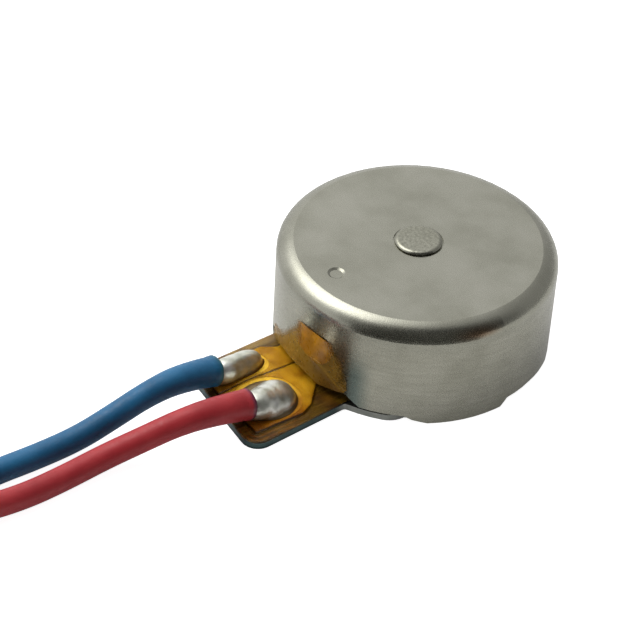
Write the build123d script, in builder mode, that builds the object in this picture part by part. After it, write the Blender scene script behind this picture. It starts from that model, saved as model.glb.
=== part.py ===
"""A flat coin vibration motor, 8 mm across and 3.4 mm high, with two wire leads.

Frame: millimetres, +Z up. The origin is on the rotor axis at the underside of the base plate.
The solder tab points along -Y. Every piece of the motor is a solid of its own.
"""

from math import acos, degrees, radians, sin, tan
import os

from build123d import *

os.makedirs("parts", exist_ok=True)

# ---------------------------------------------------------------- driving dimensions
# can
TAB_DIRECTION = -90.0  # degrees from +X
CAN_R = 4.00
CAN_TOP = 3.30
CAN_WALL = 0.20
CAN_CORNER_R = 0.47  # inside the can, and how far in from the wall the flat top ends
CORNER_OVAL = (0.65, 0.47)  # half axes of the outer corner, which meets the flat top at a slight crease
BOSS_R = 0.68
BOSS_FLAT_R = 0.57
BOSS_H = 0.10
BOSS_EDGE_H = 0.04  # height of its side below the rounded rim
BOSS_POCKET_R = 0.55
SHEAR_GROOVE = 0.04  # width and depth of the groove round the boss
SKIRT_FROM = 50.6  # degrees either way from the tab, where the skirt starts to reach the ground
SEAM_Z = 0.24
DIMPLE_AT = (-0.055, -2.80)
DIMPLE_R, DIMPLE_FLOOR_R, DIMPLE_DEPTH = 0.25, 0.18, 0.04

# what is cut from the skirt's edge either side of the tab: the angle that each cut faces, then its outline
# as distance along the wall and height
SKIRT_CUTS = (
    (55.0, [(-0.36, -0.1), (-0.36, SEAM_Z), (-0.31, SEAM_Z), (-0.09, 0.12), (0.36, 0.0), (0.36, -0.1)]),
    (103.0, [(-0.73, -0.1), (-0.73, 0.0), (-0.49, 0.22), (0.50, 0.21), (1.40, 0.10), (1.80, 0.0), (1.80, -0.1)]),
)

# base plate and its tab
PLATE_T = 0.20
PLATE_R = 3.78
EAR_HALF_W = 2.92
EAR_BACK_Y = -2.20
EAR_CORNER_R = 0.75
TAB_NECK_Y = -3.50
TAB_NECK_X = (-1.80, 1.745)
TAB_END_CORNERS = ((-1.71, -6.56), (1.945, -6.835))  # the end is cut slightly askew
TAB_CORNER_R = 0.50
COLLAR_R = 0.70
COLLAR_TOP = 1.08
SLOT_TOP = 0.52
SLOT_HALF_W = (2.12, 1.75)  # at the seam and at its top

# flexible circuit, from the plate up
FILM_T = 0.03
FLEX_R = 3.55
FLEX_MARGIN = 0.02
COLLAR_CLEARANCE = 0.05
COPPER_Z = PLATE_T + FILM_T
COVER_Z = COPPER_Z + FILM_T
FLEX_TOP = COVER_Z + FILM_T

# windows in the coverlay: centre, size and corner radius
SOLDER_WINDOWS = {
    "red": ((0.52, -5.38), (1.80, 1.90), 0.80),
    "blue": ((-0.97, -5.38), (0.88, 1.90), 0.40),
}

# ring magnet
GLUE_T = 0.04
MAGNET_R_IN = 1.80
MAGNET_R_OUT = 3.50
MAGNET_H = 0.80

# shaft, washers and bearing
SHAFT_R = 0.40
SHAFT_TOP = 3.18
RUNNING_GAP = 0.02
WASHER_R = 0.80
WASHER_T = 0.10
BEARING_R = 0.75
BEARING_FOOT = COLLAR_TOP + WASHER_T + RUNNING_GAP + 0.02
BEARING_TOP = 2.85

# rotor
ROTOR_R = 3.48
ROTOR_FROM, ROTOR_TO = -15.0, 195.0
BOARD_Z = 1.40
BOARD_T = 0.20
HUB_R = 1.75
SEGMENTS = 6
SEGMENT_T = 0.035
SEGMENT_R_IN, SEGMENT_R_OUT = 0.85, 1.65
COIL_AT_R = 2.10
COIL_ANGLES = {"coil_right": 40.0, "coil_left": 140.0}
COIL_R_IN, COIL_R_OUT = 0.42, 1.20
COIL_H = 0.95
WEIGHT_FROM, WEIGHT_TO = 54.0, 126.0
WEIGHT_R_IN = 1.60
WEIGHT_TO_COIL = 0.12
WEIGHT_H = 1.12
RESIN_H = 1.16
BEDDING = 0.015  # resin film round whatever the rotor's moulding holds

# brushes: thin leaves, each rising from the flexible circuit to the commutator
BRUSH_X = 1.25
BRUSH_W = 0.34
BRUSH_T = 0.05
BRUSH_FOOT_Y = (-0.95, -0.50)
BRUSH_TIP_Y = (0.42, 0.66)

# insulating tape over the slot
TAPE_T = 0.05
TAPE_GAP = 0.02
TAPE_ANGLE = 27.0
TAPE_FOOT_Z = 0.54
TAPE_TOP_Z = 2.20

# leads
LEAD_R = 0.35
CORE_R = 0.13
CORE_IN_SOLDER = 0.85
TIP_LENGTH = 1.60
COIL_ENTRY = (-0.20, -18.40)
COIL_TURN_R = 4.40  # first half turn, to the middle of the wire
LEAD_PITCH = 0.74
LAYER = 0.71
FLOOR_Z = LEAD_R  # centre height of a lead that lies on the table

# each route runs from the solder to the coil's first turn
ROUTE_RED = [
    (0.86, -6.30, 0.78),
    (0.81, -7.35, 0.99),
    (0.64, -8.40, 0.93),
    (0.44, -9.42, 0.66),
    (0.27, -10.45, 0.43),
    (0.33, -11.75, FLOOR_Z),
    (0.40, -13.00, 0.37),
    (0.36, -14.30, 0.50),
    (0.18, -15.60, 0.86),
    (-0.10, -16.80, FLOOR_Z + LAYER - 0.01),
    (-0.20, -17.60, FLOOR_Z + LAYER),
    (-0.20, -18.40, FLOOR_Z + LAYER),
]
ROUTE_BLUE = [
    (-0.80, -6.30, 0.77),
    (-0.82, -7.35, 1.00),
    (-0.80, -8.45, 0.94),
    (-0.79, -9.55, 0.65),
    (-0.76, -10.70, 0.41),
    (-0.78, -12.00, FLOOR_Z),
    (-0.84, -13.30, FLOOR_Z),
    (-0.74, -14.90, 0.352),
    (-0.42, -16.20, FLOOR_Z),
    (-0.20, -17.35, FLOOR_Z),
    (-0.20, -18.40, FLOOR_Z),
]


# ---------------------------------------------------------------- shared shapes
def finish(solid, name):
    """Label a finished piece and write its file."""
    solid.part.label = name
    export_step(solid.part, f"parts/{name}.step")


def pie(radius, start, stop, mode=Mode.ADD):
    """A pie slice about the axis, in degrees from +X, drawn in the open sketch."""
    with BuildLine() as outline:
        rim = CenterArc((0, 0), radius, start, stop - start)
        Polyline(rim @ 0, (0, 0), rim @ 1)
    make_face(outline.edges(), mode=mode)


def tab_outline(margin=0.0):
    """The tab's outline from inside the can to its end, drawn in the open sketch, with its edges moved in."""
    (left_x, left_y), (right_x, right_y) = TAB_END_CORNERS
    with BuildLine() as outline:
        Polyline(
            (TAB_NECK_X[0] + margin, 0),
            (TAB_NECK_X[0] + margin, TAB_NECK_Y),
            (left_x + margin, left_y + margin),
            (right_x - margin, right_y + margin),
            (TAB_NECK_X[1] - margin, TAB_NECK_Y),
            (TAB_NECK_X[1] - margin, 0),
            close=True,
        )
    make_face(outline.edges())


def flex_outline():
    """The flexible circuit's outline, drawn in the open sketch: a disc with a tongue along the tab."""
    Circle(FLEX_R)
    tab_outline(FLEX_MARGIN)
    Circle(COLLAR_R + COLLAR_CLEARANCE, mode=Mode.SUBTRACT)


def round_tab_end(piece, radius):
    """Round the two outer corners of the tab's end on a finished outline."""
    fillet(piece.edges().filter_by(Axis.Z).sort_by(Axis.Y)[:2], radius=radius)


def coil_seats(radius, mode=Mode.SUBTRACT):
    """A circle at each winding's place on the rotor, drawn in the open sketch."""
    for angle in COIL_ANGLES.values():
        with PolarLocations(COIL_AT_R, 1, start_angle=angle):
            Circle(radius, mode=mode)


# ---------------------------------------------------------------- can cover
with BuildPart() as can_cover:
    inner_r = CAN_R - CAN_WALL
    ceiling = CAN_TOP - CAN_WALL
    crease = degrees(acos(1 - CAN_CORNER_R / CORNER_OVAL[0]))
    corner_foot = CAN_TOP - CORNER_OVAL[1] * sin(radians(crease))
    with BuildSketch(Plane.XZ):
        with BuildLine():
            outer = Polyline((0, CAN_TOP), (CAN_R - CAN_CORNER_R, CAN_TOP))
            EllipticalCenterArc((CAN_R - CORNER_OVAL[0], corner_foot), *CORNER_OVAL, arc_size=crease)
            wall = Polyline((CAN_R, corner_foot), (CAN_R, 0), (inner_r, 0), (inner_r, CAN_TOP - CAN_CORNER_R))
            inside = RadiusArc(wall @ 1, (CAN_R - CAN_CORNER_R, ceiling), -(CAN_CORNER_R - CAN_WALL))
            Polyline(inside @ 1, (0, ceiling), outer @ 0)
        make_face()
    revolve(axis=Axis.Z)
    # half-sheared boss over the shaft end, with a rounded rim and a pocket below
    with BuildSketch(Plane.XZ):
        with BuildLine():
            crown = Line((0, CAN_TOP + BOSS_H), (BOSS_FLAT_R, CAN_TOP + BOSS_H))
            rim = TangentArc(crown @ 1, (BOSS_R, CAN_TOP + BOSS_EDGE_H), tangent=crown % 1)
            Polyline(rim @ 1, (BOSS_R, CAN_TOP), (0, CAN_TOP), crown @ 0)
        make_face()
    revolve(axis=Axis.Z)
    with BuildSketch(Plane.XY.offset(CAN_TOP)):
        Circle(BOSS_R + SHEAR_GROOVE)
        Circle(BOSS_R, mode=Mode.SUBTRACT)
    extrude(amount=-SHEAR_GROOVE, mode=Mode.SUBTRACT)
    with BuildSketch(Plane.XY.offset(ceiling)):
        Circle(BOSS_POCKET_R)
    extrude(amount=BOSS_H, mode=Mode.SUBTRACT)
    # in front the skirt stops a hair above the plate's ears; at the sides and behind it reaches the ground,
    # with a sloped start and a notch
    with BuildSketch(Plane.XY):
        pie(CAN_R + 1, TAB_DIRECTION - SKIRT_FROM, TAB_DIRECTION + SKIRT_FROM)
    extrude(amount=SEAM_Z, mode=Mode.SUBTRACT)
    for side in (1, -1):
        for facing, cut in SKIRT_CUTS:
            with BuildSketch(Plane.XZ.rotated((0, 0, side * facing))):
                with BuildLine():
                    Polyline(*[(side * along, height) for along, height in cut], close=True)
                make_face()
            extrude(amount=CAN_R + 1, mode=Mode.SUBTRACT)
    # slot for the flexible circuit, with sloped ends
    with BuildSketch(Plane.XZ):
        with BuildLine():
            Polyline(
                (-SLOT_HALF_W[0], 0),
                (-SLOT_HALF_W[0], SEAM_Z),
                (-SLOT_HALF_W[1], SLOT_TOP),
                (SLOT_HALF_W[1], SLOT_TOP),
                (SLOT_HALF_W[0], SEAM_Z),
                (SLOT_HALF_W[0], 0),
                close=True,
            )
        make_face()
    extrude(amount=CAN_R + 1, mode=Mode.SUBTRACT)
    # small tooling dent in the top
    with Locations((*DIMPLE_AT, CAN_TOP - DIMPLE_DEPTH / 2)):
        Cone(DIMPLE_FLOOR_R, DIMPLE_R, DIMPLE_DEPTH, mode=Mode.SUBTRACT)
finish(can_cover, "can_cover")

# ---------------------------------------------------------------- base plate
with BuildPart() as base_plate:
    with BuildSketch(Plane.XY) as plate_outline:
        # two ears, flush with the can's outside
        Circle(CAN_R)
        with Locations((0, EAR_BACK_Y)):
            Rectangle(2 * EAR_HALF_W, CAN_R, align=(Align.CENTER, Align.MAX), mode=Mode.INTERSECT)
        fillet(plate_outline.vertices().group_by(Axis.Y)[0], radius=EAR_CORNER_R)
        Circle(PLATE_R)
        tab_outline()
    extrude(amount=PLATE_T)
    round_tab_end(base_plate, TAB_CORNER_R)
    neck = base_plate.edges().filter_by(Axis.Z).filter_by(lambda e: -4 < e.center().Y < -3.4)
    fillet(neck, radius=0.12)
    with BuildSketch(Plane.XY.offset(PLATE_T)):
        Circle(COLLAR_R)
    extrude(amount=COLLAR_TOP - PLATE_T)
    Hole(SHAFT_R)
finish(base_plate, "base_plate")

# ---------------------------------------------------------------- shaft and washers
with BuildPart() as shaft:
    with BuildSketch(Plane.XY):
        Circle(SHAFT_R)
    extrude(amount=SHAFT_TOP)
    chamfer(shaft.edges().group_by(Axis.Z)[-1], length=0.05)
finish(shaft, "shaft")

for washer_name, washer_foot in (("lower_washer", COLLAR_TOP), ("upper_washer", BEARING_TOP + RUNNING_GAP)):
    with BuildPart() as washer:
        with BuildSketch(Plane.XY.offset(washer_foot)):
            Circle(WASHER_R)
            Circle(SHAFT_R + 0.01, mode=Mode.SUBTRACT)
        extrude(amount=WASHER_T)
    finish(washer, washer_name)

# ---------------------------------------------------------------- flexible circuit
with BuildPart() as flex_base_film:
    with BuildSketch(Plane.XY.offset(PLATE_T)):
        flex_outline()
    extrude(amount=FILM_T)
    round_tab_end(flex_base_film, TAB_CORNER_R - FLEX_MARGIN)
finish(flex_base_film, "flex_base_film")

with BuildPart() as trace_red:
    with BuildSketch(Plane.XY.offset(COPPER_Z)):
        with BuildLine():
            Polyline(
                (-0.32, -3.26),
                (-0.42, -5.40),
                (-0.34, -6.38),
                (1.46, -6.38),
                (1.49, -4.84),
                (1.31, -4.46),
                (0.69, -3.86),
                (1.45, -2.60),
                (1.45, -0.45),
                (1.00, -0.45),
                (1.00, -2.40),
                close=True,
            )
        make_face()
    extrude(amount=FILM_T)
finish(trace_red, "trace_red")

with BuildPart() as trace_blue:
    with BuildSketch(Plane.XY.offset(COPPER_Z)):
        with BuildLine():
            Polyline(
                (-0.38, -3.26),
                (-0.48, -5.40),
                (-0.40, -6.38),
                (-1.42, -6.38),
                (-1.46, -4.28),
                (-1.20, -3.86),
                (-1.45, -2.60),
                (-1.45, 1.00),
                (-1.00, 1.00),
                (-1.00, -2.40),
                close=True,
            )
        make_face()
    extrude(amount=FILM_T)
finish(trace_blue, "trace_blue")

with BuildPart() as flex_coverlay:
    with BuildSketch(Plane.XY.offset(COVER_Z)):
        flex_outline()
        for window_at, window_size, window_r in SOLDER_WINDOWS.values():
            with Locations(window_at):
                RectangleRounded(*window_size, window_r, mode=Mode.SUBTRACT)
        for side in (1, -1):
            with Locations((side * BRUSH_X, side * sum(BRUSH_FOOT_Y) / 2)):
                Rectangle(BRUSH_W + 0.12, BRUSH_FOOT_Y[1] - BRUSH_FOOT_Y[0] + 0.24, mode=Mode.SUBTRACT)
    extrude(amount=FILM_T)
    round_tab_end(flex_coverlay, TAB_CORNER_R - FLEX_MARGIN)
finish(flex_coverlay, "flex_coverlay")

# ---------------------------------------------------------------- magnet
with BuildPart() as magnet_adhesive:
    with BuildSketch(Plane.XY.offset(FLEX_TOP)):
        Circle(MAGNET_R_OUT - 0.10)
        Circle(MAGNET_R_IN + 0.10, mode=Mode.SUBTRACT)
    extrude(amount=GLUE_T)
finish(magnet_adhesive, "magnet_adhesive")

with BuildPart() as ring_magnet:
    with BuildSketch(Plane.XY.offset(FLEX_TOP + GLUE_T)):
        Circle(MAGNET_R_OUT)
        Circle(MAGNET_R_IN, mode=Mode.SUBTRACT)
    extrude(amount=MAGNET_H)
    chamfer(ring_magnet.edges().filter_by(GeomType.CIRCLE), length=0.06)
finish(ring_magnet, "ring_magnet")

# ---------------------------------------------------------------- brushes
for brush_name, side in (("brush_positive", 1), ("brush_negative", -1)):
    with BuildPart() as brush:
        foot_z = COVER_Z + BRUSH_T / 2
        touch_z = BOARD_Z - SEGMENT_T - RUNNING_GAP - BRUSH_T / 2
        with BuildSketch(Plane(origin=(side * BRUSH_X, 0, 0), x_dir=(0, side, 0), z_dir=(side, 0, 0))):
            with BuildLine():
                FilletPolyline(
                    (BRUSH_FOOT_Y[0], foot_z),
                    (BRUSH_FOOT_Y[1], foot_z),
                    (BRUSH_TIP_Y[0], touch_z),
                    (BRUSH_TIP_Y[1], touch_z - 0.12),
                    radius=[0.12, 0.10],
                )
            trace(line_width=BRUSH_T)
        extrude(amount=BRUSH_W / 2, both=True)
    finish(brush, brush_name)

# ---------------------------------------------------------------- rotor
with BuildPart() as rotor_board:
    with BuildSketch(Plane.XY.offset(BOARD_Z)):
        pie(ROTOR_R, ROTOR_FROM, ROTOR_TO)
        Circle(HUB_R)
        Circle(BEARING_R, mode=Mode.SUBTRACT)
    extrude(amount=BOARD_T)
finish(rotor_board, "rotor_board")

with BuildPart() as commutator:
    with BuildSketch(Plane.XY.offset(BOARD_Z - SEGMENT_T)):
        Circle(SEGMENT_R_OUT)
        Circle(SEGMENT_R_IN, mode=Mode.SUBTRACT)
        with PolarLocations(0, SEGMENTS):
            Rectangle(SEGMENT_R_OUT + 1, 0.12, align=(Align.MIN, Align.CENTER), mode=Mode.SUBTRACT)
    extrude(amount=SEGMENT_T)
finish(commutator, "commutator")

for coil_name, coil_angle in COIL_ANGLES.items():
    with BuildPart() as coil:
        with BuildSketch(Plane.XY.offset(BOARD_Z + BOARD_T)):
            with PolarLocations(COIL_AT_R, 1, start_angle=coil_angle):
                Circle(COIL_R_OUT)
                Circle(COIL_R_IN, mode=Mode.SUBTRACT)
        extrude(amount=COIL_H)
        fillet(coil.edges().filter_by(GeomType.CIRCLE).group_by(Axis.Z)[-1], radius=0.12)
    finish(coil, coil_name)

with BuildPart() as counterweight:
    with BuildSketch(Plane.XY.offset(BOARD_Z + BOARD_T)):
        pie(ROTOR_R, WEIGHT_FROM, WEIGHT_TO)
        Circle(WEIGHT_R_IN, mode=Mode.SUBTRACT)
        coil_seats(COIL_R_OUT + WEIGHT_TO_COIL)
    extrude(amount=WEIGHT_H)
finish(counterweight, "counterweight")

with BuildPart() as rotor_moulding:
    with BuildSketch(Plane.XY.offset(BOARD_Z + BOARD_T)):
        pie(ROTOR_R, ROTOR_FROM, ROTOR_TO)
        Circle(HUB_R - 0.45)
        Circle(BEARING_R, mode=Mode.SUBTRACT)
        coil_seats(COIL_R_OUT + BEDDING)
    extrude(amount=RESIN_H)
    with BuildSketch(Plane.XY.offset(BOARD_Z + BOARD_T)):
        pie(ROTOR_R + 0.1, WEIGHT_FROM - 0.3, WEIGHT_TO + 0.3)
        Circle(WEIGHT_R_IN - BEDDING, mode=Mode.SUBTRACT)
        coil_seats(COIL_R_OUT + WEIGHT_TO_COIL - BEDDING)
    extrude(amount=RESIN_H, mode=Mode.SUBTRACT)
finish(rotor_moulding, "rotor_moulding")

with BuildPart() as rotor_bearing:
    with BuildSketch(Plane.XY.offset(BEARING_FOOT)):
        Circle(BEARING_R)
        Circle(SHAFT_R + RUNNING_GAP, mode=Mode.SUBTRACT)
    extrude(amount=BEARING_TOP - BEARING_FOOT)
finish(rotor_bearing, "rotor_bearing")

# ---------------------------------------------------------------- insulating tape
with BuildPart() as insulating_tape:
    tape_r = CAN_R + TAPE_GAP
    with BuildSketch(Plane.XY.offset(TAPE_FOOT_Z)):
        pie(tape_r + TAPE_T, TAB_DIRECTION - TAPE_ANGLE, TAB_DIRECTION + TAPE_ANGLE)
        Circle(tape_r, mode=Mode.SUBTRACT)
    extrude(amount=TAPE_TOP_Z - TAPE_FOOT_Z)
    # cut edge, seen from in front of the tab: low at the left, a peak in the middle, falling to the right
    with BuildSketch(Plane.XZ.offset(CAN_R - 1)):
        with BuildLine():
            Polyline(
                (-2.20, TAPE_FOOT_Z),
                (-2.20, 0.95),
                (-0.95, 1.20),
                (-0.36, 2.00),
                (0.10, TAPE_TOP_Z),
                (0.95, 2.08),
                (1.36, 1.80),
                (1.66, 1.15),
                (1.90, TAPE_FOOT_Z),
                close=True,
            )
        make_face()
    extrude(amount=2, mode=Mode.INTERSECT)
finish(insulating_tape, "insulating_tape")


# ---------------------------------------------------------------- leads
def bend_radii(points):
    """The radius at each inner point: 0.45 of the shorter run beside it over the tangent of half the turn."""
    places = [Vector(*p) for p in points]
    runs = [b - a for a, b in zip(places, places[1:])]
    return [
        0.45 * min(before.length, after.length) / tan(radians(before.get_angle(after)) / 2)
        for before, after in zip(runs, runs[1:])
    ]


def storage_coil(foot_z):
    """Two turns wound inward in one layer, as the outer shape of half turns about two centres."""
    half_turns = [COIL_TURN_R - LEAD_PITCH * n / 2 for n in range(4)]
    centre_x = COIL_ENTRY[0] - COIL_TURN_R
    with BuildPart() as wound:
        for first, shift, below in ((0, 0.0, True), (1, -LEAD_PITCH / 2, False)):
            with BuildSketch(Plane((centre_x + shift, COIL_ENTRY[1], foot_z))):
                Circle(half_turns[first] + LEAD_R)
                Circle(half_turns[first + 2] - LEAD_R, mode=Mode.SUBTRACT)
                kept = Align.MAX if below else Align.MIN
                Rectangle(4 * CAN_R, 4 * CAN_R, align=(Align.CENTER, kept), mode=Mode.INTERSECT)
            extrude(amount=2 * LEAD_R)
    return wound


LEADS = {
    "red": (ROUTE_RED, (0.71, -5.37, COVER_Z), (0.60, 0.84, 0.70)),
    "blue": (ROUTE_BLUE, (-0.96, -5.42, COVER_Z), (0.38, 0.89, 0.68)),
}

for colour, (route, solder_at, solder_size) in LEADS.items():
    radii = bend_radii(route)
    print(colour, "lead bend radii, mm:", [round(r, 2) for r in radii])
    exit_plane = Plane(origin=route[0], z_dir=Vector(*route[1]) - Vector(*route[0]))
    layer_z = route[-1][2] - LEAD_R

    with BuildPart() as lead:
        with BuildLine():
            centre_line = FilletPolyline(*route, radius=radii)
        with BuildSketch(exit_plane):
            Circle(LEAD_R)
        sweep()
    section = 3.14159265 * LEAD_R**2
    print(colour, "lead tube, volume over section times length:",
          round(lead.part.volume / (section * centre_line.length), 4),
          "length, mm:", round(centre_line.length, 3))
    finish(lead, f"lead_{colour}")

    coiled = storage_coil(layer_z)
    finish(coiled, f"lead_coil_{colour}")

    # bare tinned end, just past the second turn
    tip_x = COIL_ENTRY[0] - 2 * LEAD_PITCH
    with BuildPart() as lead_tip:
        with BuildSketch(Plane(origin=(tip_x, COIL_ENTRY[1], route[-1][2]), z_dir=(-0.22, -1, 0))):
            Circle(CORE_R)
        extrude(amount=TIP_LENGTH)
    finish(lead_tip, f"lead_tip_{colour}")

    # tinned strands inside the solder
    with BuildPart() as core:
        with BuildSketch(exit_plane):
            Circle(CORE_R)
        extrude(amount=-CORE_IN_SOLDER)
    finish(core, f"core_{colour}")

    # solder, heaped on the pad up to the end of the insulation
    with BuildPart() as solder:
        with Locations(solder_at):
            Sphere(1)
        scale(by=solder_size, about=solder_at)
        split(bisect_by=Plane.XY.offset(COVER_Z), keep=Keep.TOP)
        split(bisect_by=exit_plane, keep=Keep.BOTTOM)
        with BuildSketch(exit_plane):
            Circle(CORE_R)
        extrude(amount=-CORE_IN_SOLDER, mode=Mode.SUBTRACT)
    finish(solder, f"solder_joint_{colour}")
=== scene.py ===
"""Looks of a flat coin vibration motor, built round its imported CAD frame. Blender and the materials work in
metres. Shapes are worked out in millimetres in the same frame and scaled once, in mesh_piece() and wire()."""

from math import cos, hypot, pi, radians, sin, sqrt

import bpy
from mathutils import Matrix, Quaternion, Vector, noise


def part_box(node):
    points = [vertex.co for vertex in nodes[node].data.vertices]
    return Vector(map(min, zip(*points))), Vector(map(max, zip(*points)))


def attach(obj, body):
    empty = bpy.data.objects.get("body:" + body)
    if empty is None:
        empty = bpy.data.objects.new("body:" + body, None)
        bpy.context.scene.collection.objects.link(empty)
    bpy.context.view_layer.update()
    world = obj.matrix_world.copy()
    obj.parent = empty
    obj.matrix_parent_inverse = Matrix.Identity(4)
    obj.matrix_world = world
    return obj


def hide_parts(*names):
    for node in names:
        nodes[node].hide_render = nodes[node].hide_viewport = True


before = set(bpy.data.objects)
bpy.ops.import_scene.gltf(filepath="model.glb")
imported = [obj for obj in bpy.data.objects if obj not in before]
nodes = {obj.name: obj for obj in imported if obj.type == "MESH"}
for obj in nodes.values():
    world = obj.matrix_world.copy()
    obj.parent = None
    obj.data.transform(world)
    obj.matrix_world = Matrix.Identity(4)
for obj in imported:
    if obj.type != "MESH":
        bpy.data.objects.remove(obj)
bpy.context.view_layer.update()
MM = 0.001


def node_box(name):
    """Lowest and highest corner of a CAD node, in millimetres."""
    low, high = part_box(name)
    return low / MM, high / MM


# ---------------------------------------------------------------- camera
VIEW_AZIMUTH, VIEW_ELEVATION, VIEW_ROLL = 52.78, 39.69, 3.44
VIEW_DISTANCE = 0.06816
LENS, SENSOR_W = 136.77, 36
AIM = Vector((-0.00016, -0.00319, 0.0017))


def direction(azimuth, elevation):
    """The unit vector that points at an azimuth, measured as the camera's is, and an elevation."""
    a, e = radians(azimuth), radians(elevation)
    return Vector((sin(a) * cos(e), -cos(a) * cos(e), sin(e)))


def add_camera():
    data = bpy.data.cameras.new("camera")
    data.sensor_width = SENSOR_W
    data.lens = LENS
    data.clip_start, data.clip_end = 0.001, 10
    camera = bpy.data.objects.new("camera", data)
    back = direction(VIEW_AZIMUTH, VIEW_ELEVATION)
    camera.location = AIM + back * VIEW_DISTANCE
    camera.rotation_mode = "QUATERNION"
    level = (-back).to_track_quat("-Z", "Y")
    camera.rotation_quaternion = level @ Quaternion((0, 0, 1), radians(VIEW_ROLL))
    bpy.context.scene.collection.objects.link(camera)
    bpy.context.scene.camera = camera


add_camera()


# ---------------------------------------------------------------- material helpers
RELIEF_DEPTH = 0.02 * MM


def node(tree, kind, inputs=None, **settings):
    """A shader node with its inputs linked or set, and its own settings."""
    made = tree.nodes.new(kind)
    for key, value in settings.items():
        setattr(made, key, value)
    for key, value in (inputs or {}).items():
        if isinstance(value, bpy.types.NodeSocket):
            tree.links.new(value, made.inputs[key])
        else:
            made.inputs[key].default_value = value
    return made


def ramp(tree, factor, stops):
    """A colour ramp with stops of (place, linear colour)."""
    made = node(tree, "ShaderNodeValToRGB", {"Fac": factor})
    elements = made.color_ramp.elements
    while len(elements) < len(stops):
        elements.new(0.5)
    for element, (place, colour) in zip(elements, stops):
        element.position = place
        element.color = (*colour, 1)
    return made.outputs["Color"]


def tinted(tree, colour, tint, factor, blend="MULTIPLY"):
    """colour multiplied by tint, or turned into it with blend MIX, where factor is 1."""
    made = node(tree, "ShaderNodeMix", data_type="RGBA", blend_type=blend)
    tree.links.new(factor, made.inputs[0])
    tree.links.new(colour, made.inputs[6])
    if isinstance(tint, bpy.types.NodeSocket):
        tree.links.new(tint, made.inputs[7])
    else:
        made.inputs[7].default_value = (*tint, 1)
    return made.outputs[2]


def mapped(tree, value, span, out=(0.0, 1.0)):
    """value eased from span to out."""
    low, high = span
    inputs = {"Value": value, "From Min": low, "From Max": high, "To Min": out[0], "To Max": out[1]}
    return node(tree, "ShaderNodeMapRange", inputs, interpolation_type="SMOOTHSTEP").outputs[0]


def maths(tree, operation, a, b=0.0):
    """One operation on two numbers or sockets."""
    return node(tree, "ShaderNodeMath", {0: a, 1: b}, operation=operation).outputs[0]


def object_place(tree):
    """A surface point in its piece's own frame, which is the shared frame at rest, in metres."""
    return node(tree, "ShaderNodeTexCoord").outputs["Object"]


def noise_at(tree, place, size_mm, detail=3.0, stretch=(1, 1, 1)):
    """Noise with features of about size_mm, each axis squeezed by stretch."""
    squeezed = node(tree, "ShaderNodeMapping", {"Vector": place, "Scale": stretch}).outputs[0]
    inputs = {"Vector": squeezed, "Scale": 1 / (size_mm * MM), "Detail": detail}
    return node(tree, "ShaderNodeTexNoise", inputs).outputs[0]


def surface(
    name, stops, mottle=0.6, grain=0.08, stretch=(1, 1, 1), rough=(0.35, 0.5), relief=0.2, **sockets
):
    """A material with mottled colour, uneven roughness and a fine relief, all in object space. mottle and
    grain are the sizes of the colour patches and of the relief, in mm. Returns the material, its tree, its
    shader and the place and colour sockets, for materials that add to it."""
    material = bpy.data.materials.new(name)
    material.use_nodes = True
    tree = material.node_tree
    shader = tree.nodes["Principled BSDF"]
    for socket, value in sockets.items():
        shader.inputs[socket.replace("_", " ")].default_value = value
    place = object_place(tree)
    patches = noise_at(tree, place, mottle, stretch=stretch)
    fine = noise_at(tree, place, grain, 2.0, stretch)
    colour = ramp(tree, patches, stops)
    tree.links.new(colour, shader.inputs["Base Color"])
    tree.links.new(mapped(tree, fine, (0.25, 0.75), rough), shader.inputs["Roughness"])
    bump = node(tree, "ShaderNodeBump", {"Height": fine, "Strength": relief, "Distance": RELIEF_DEPTH})
    tree.links.new(bump.outputs[0], shader.inputs["Normal"])
    return material, tree, shader, place, colour


def two(a, b):
    """Ramp stops from a to b over the middle of the noise."""
    return [(0.35, a), (0.65, b)]


def plain(name, dark, light, mottle, grain, rough, relief, **more):
    """A material that wanders between two colours, with nothing added to it."""
    return surface(name, two(dark, light), mottle, grain, rough=rough, relief=relief, **more)[0]


def painted(tree, name):
    """A value that mesh code left on a piece's points."""
    return node(tree, "ShaderNodeAttribute", attribute_name=name).outputs["Fac"]


def angle_and_height(tree, place):
    """Degrees from +X about the rotor axis, and metres above the table."""
    split = node(tree, "ShaderNodeSeparateXYZ", {0: place})
    turn = maths(tree, "ARCTAN2", split.outputs[1], split.outputs[0])
    return maths(tree, "MULTIPLY", turn, 180 / pi), split.outputs[2]


def band(tree, value, middle, half):
    """1 at middle, falling to 0 at half either side."""
    away = maths(tree, "ABSOLUTE", maths(tree, "SUBTRACT", value, middle))
    return mapped(tree, away, (0.0, half), (1.0, 0.0))


# ---------------------------------------------------------------- mesh helpers
def mesh_piece(name, points, faces, material, slot, replaced=(), body="case", sharp=50):
    """A smooth-shaded mesh piece from points in mm, with edges over sharp degrees kept crisp."""
    mesh = bpy.data.meshes.new(name)
    mesh.from_pydata([Vector(p) * MM for p in points], [], faces)
    mesh.validate()
    mesh.shade_smooth()
    mesh.set_sharp_from_angle(angle=radians(sharp))
    mesh.materials.append(material)
    piece = bpy.data.objects.new(name, mesh)
    bpy.context.scene.collection.objects.link(piece)
    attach(piece, body)
    if replaced:
        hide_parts(*replaced)
    return piece


def paint(piece, name, values):
    """Leaves a value on each point of a piece, for its material."""
    piece.data.attributes.new(name, "FLOAT", "POINT").data.foreach_set("value", values)


def smooth_step(x):
    """0 to 1 while x goes from 0 to 1, with soft ends."""
    x = min(1.0, max(0.0, x))
    return x * x * (3 - 2 * x)


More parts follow.
